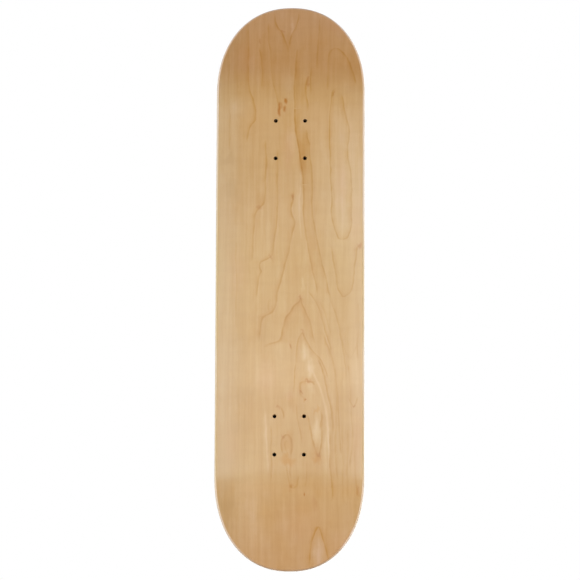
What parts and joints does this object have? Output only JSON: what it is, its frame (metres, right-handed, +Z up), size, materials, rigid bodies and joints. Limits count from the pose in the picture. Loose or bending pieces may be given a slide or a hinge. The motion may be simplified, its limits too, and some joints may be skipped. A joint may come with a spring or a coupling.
{
  "type": "skateboard deck",
  "caption": "Pressed maple skateboard deck with kicked nose and tail, concave between the rails, rounded edges and drilled truck holes.",
  "frame": {"origin": "on the flat of the underside, halfway between the two truck hole patterns", "axes": "+X towards the nose, +Y across the board, +Z up as the board is ridden"},
  "size_m": [0.81, 0.2096, 0.0533],
  "materials": {
    "maple_face": "clear satin lacquer over rotary-cut maple, grain along the board",
    "maple_core": "sanded maple veneer, grain along the board",
    "maple_cross": "sanded maple veneer, grain across the board",
    "glue": "cured amber wood resin"
  },
  "bodies": {
    "root": {"top_face_veneer": "maple_face", "upper_core_veneer": "maple_core", "upper_cross_veneer": "maple_cross", "centre_core_veneer": "maple_core", "lower_cross_veneer": "maple_cross", "lower_core_veneer": "maple_core", "bottom_face_veneer": "maple_face", "glue_line_1": "glue", "glue_line_2": "glue", "glue_line_3": "glue", "glue_line_4": "glue", "glue_line_5": "glue", "glue_line_6": "glue"}
  },
  "joints": []
}
